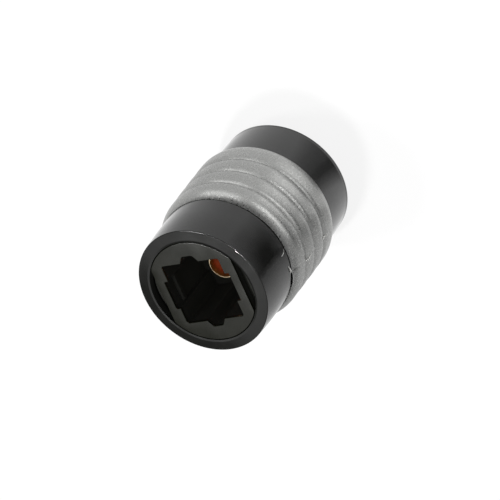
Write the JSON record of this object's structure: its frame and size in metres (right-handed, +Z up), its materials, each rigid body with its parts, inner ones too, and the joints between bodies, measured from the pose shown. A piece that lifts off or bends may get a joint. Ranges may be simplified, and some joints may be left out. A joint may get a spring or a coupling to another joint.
{
  "type": "optical audio coupler",
  "caption": "Round barrel coupler with a grooved grip and a keyed square socket at each end, joining optical audio leads end to end through a brass sleeve.",
  "frame": {"origin": "middle of the lower rim, on the coupler's axis", "axes": "+Z up along the coupler's axis, +X through the key notches of both sockets, +Y through their detents"},
  "size_m": [0.0195, 0.0194, 0.0256],
  "materials": {
    "tube_black": "satin moulded black",
    "grip_silver": "silver-grey with a fine pearl fleck",
    "insert_black": "satin moulded black",
    "sleeve_brass": "turned brass"
  },
  "bodies": {
    "root": {"outer_tube": "tube_black", "grip_sleeve": "grip_silver", "socket_insert_upper": "insert_black", "socket_insert_lower": "insert_black", "ferrule_sleeve": "sleeve_brass"}
  },
  "joints": []
}
